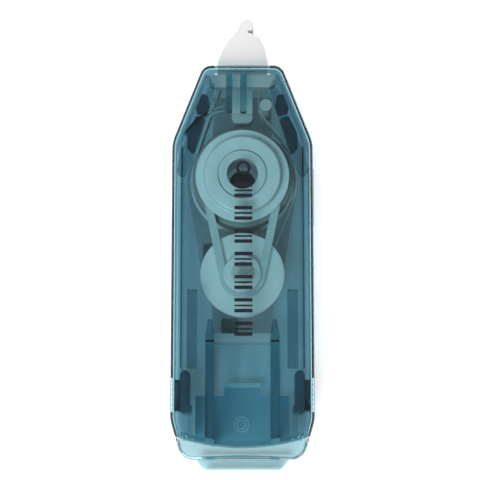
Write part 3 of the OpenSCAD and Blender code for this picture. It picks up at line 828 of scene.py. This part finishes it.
z0, z1 = zs("takeup_retainer")
clip = lathe("takeup_retainer_turned", TAK, [
    (1.12, z0, 0.05), (2.4, z0, 0.08), (2.4, z0 + 0.3, 0.12), (1.12, z0 + 0.3, 0.05)
], None)
square = [(TAK[0] + x, TAK[1] + y, 0.3) for x, y in ((-1.55, -1.3), (1.55, -1.3), (1.55, 1.3), (-1.55, 1.3))]
key = prism("add", fillet(square, 4), z0 + 0.2, z1)
combine(clip, [key], "UNION")
combine(clip, [prism("cut", disc_points(TAK, 1.12, 40), z0 - 1, z1 - 0.12)], "DIFFERENCE")
clip.data.materials.append(CLIP)
soften(clip, 0.08)
done(clip, "holder", "pulley_plastic", "takeup_retainer")

# ---------------------------------------------------------------- dark panes of painted shade under the frame's windows and the supply hub
panes = [(-8.58, -5.72, TAK[1] + 1.22, TAK[1] + 7.68), (-4.58, -0.92, 27.32, 30.48)]
for n, (x0, x1, y0, y1) in enumerate(panes):
    pane = box(f"frame_painted_shade_{n + 1}", x0, y0, 1.55, x1, y1, 1.95, SHADE_PANE)
    soften(pane, 0.06)
    done(pane, "holder", "frame_plastic")

dish = [(0.02, 1.5, 0), (2.85, 1.5, 0.04), (2.85, 1.9, 0.04), (0.02, 1.9, 0)]
shade_dish = lathe("frame_painted_shade_3", SUP, dish, SHADE_PANE, 64, 2)
done(shade_dish, "holder", "frame_plastic")

# ---------------------------------------------------------------- lugs and webs in the shoulders of the case
for side, tag in ((-1, "left"), (1, "right")):
    for n, pts in enumerate([
        [(7.3, 77.4), (8.7, 77.9), (10.0, 74.7), (9.7, 73.4), (7.5, 72.9), (7.0, 75.0)],
        [(8.0, 72.4), (9.9, 73.0), (11.7, 69.3), (11.9, 66.0), (10.4, 64.2), (9.3, 68.0)],
    ]):
        outline = fillet([(side * x, y, 0.45) for x, y in pts], 5)
        lug = prism(f"shoulder_lug_{tag}_{n + 1}", outline, 11.9, 12.9, LUG)
        soften(lug, 0.3, 3)
        done(lug, "case", "case_front")
    outline = [(7.6, 82.4, 0.4), (12.9, 68.6, 2.0), (13.9, 60.5, 0.2), (12.6, 58.5, 0.8), (9.6, 66.0, 2.0),
               (5.6, 79.0, 0.8)]
    outline = fillet([(side * x, y, r) for x, y, r in outline], 6)
    web = prism(f"shoulder_web_{tag}", outline, 13.0, UNDER_FRONT, LINING)
    soften(web, 0.15)
    done(web, "case", "case_front")
arch = [(SUP[0] + r * math.cos(math.radians(a)), SUP[1] + r * math.sin(math.radians(a)))
        for r, sweep in ((15.3, range(146, 101, -3)), (14.5, range(104, 149, 3))) for a in sweep]
guide = prism("front_guide_rib", [(x * 0.94 - 0.6, y) for x, y in arch], 11.4, UNDER_FRONT, HOLD)
soften(guide, 0.15)
done(guide, "case", "case_front")

# ---------------------------------------------------------------- print on the case front
x0, x1 = -1.7, 2.1
z0, z1 = CASE_T + 0.004, CASE_T + 0.02
marks = []
for i in range(7):
    y = 56.4 - 4.9 * i
    for a, b in ((-1.5, -0.75), (-0.25, 0.15), (0.75, 1.5)):
        bar = [(x0, y + a, 0.12), (x1, y + a, 0.12), (x1, y + b, 0.12), (x0, y + b, 0.12)]
        marks.append(prism("mark", fillet(bar, 3), z0, z1, INK))
dial = lathe("mark", (0.2, 61.2), [(0.95, z0, 0), (1.55, z0, 0), (1.55, z1, 0), (0.95, z1, 0)], INK, 64, 1)
combine(dial, marks, "UNION")
dial.name = "case_print"
done(dial, "case", "case_front")

# ---------------------------------------------------------------- kept CAD nodes
PLAIN = ("correction_tape_run", "spent_tape_run", "correction_tape_roll", "clutch_ring")
for n, m in {
    "release_arm_left": ARM, "release_arm_right": ARM, "refill_frame": DECK,
    "guide_post": TIP, "supply_reel": REEL, "correction_tape_roll": SHADED_ROLL, "clutch_ring": CLUTCH,
    "drive_belt": BELT, "takeup_reel": TAKE, "spent_tape_roll": USED,
    "correction_tape_run": TAPE, "spent_tape_run": FILM,
}.items():
    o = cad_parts[n]
    for s in o.material_slots:
        s.material = m
    if n not in PLAIN:
        b = o.modifiers.new("edges", "BEVEL")
        b.width = 0.1 * MM
        b.segments = 2
        b.limit_method = "ANGLE"
        b.angle_limit = math.radians(35)

# ---------------------------------------------------------------- floor and light
def plane(name, size, z, mat):
    bm = bmesh.new()
    bmesh.ops.create_grid(bm, x_segments=2, y_segments=2, size=size)
    for v in bm.verts:
        v.co.z = z
    return make(name, bm, mat)


fm, fnt, fout = new_mat("floor_white")
fb = node(fnt, "ShaderNodeBsdfPrincipled")
fb.inputs["Base Color"].default_value = (0.95, 0.95, 0.95, 1)
fb.inputs["Roughness"].default_value = 0.9
fb.inputs["Emission Color"].default_value = (1, 1, 1, 1)
fb.inputs["Emission Strength"].default_value = 0.24
fnt.links.new(fb.outputs[0], fout.inputs["Surface"])
floor = plane("floor", 2.0, -0.0002, fm)

world = bpy.data.worlds.new("world")
scene.world = world
world.use_nodes = True
world.node_tree.nodes["Background"].inputs["Color"].default_value = (1, 1, 1, 1)
world.node_tree.nodes["Background"].inputs["Strength"].default_value = 0.75


def area(name, at, size, power, look=(0, 0, 0)):
    d = bpy.data.lights.new(name, "AREA")
    d.shape = "RECTANGLE"
    d.size, d.size_y = size
    d.energy = power
    o = bpy.data.objects.new(name, d)
    scene.collection.objects.link(o)
    o.location = at
    o.rotation_euler = (Vector(look) - Vector(at)).to_track_quat("-Z", "Y").to_euler()
    return o


area("key", (-0.3, -0.42, 0.72), (0.5, 0.4), 6.6)
area("fill", (0.1, 0.5, 0.7), (0.6, 0.4), 2.0)
scene.view_settings.view_transform = "Standard"
scene.cycles.caustics_refractive = False
scene.cycles.max_bounces = 24
scene.cycles.transmission_bounces = 24
scene.cycles.transparent_max_bounces = 48
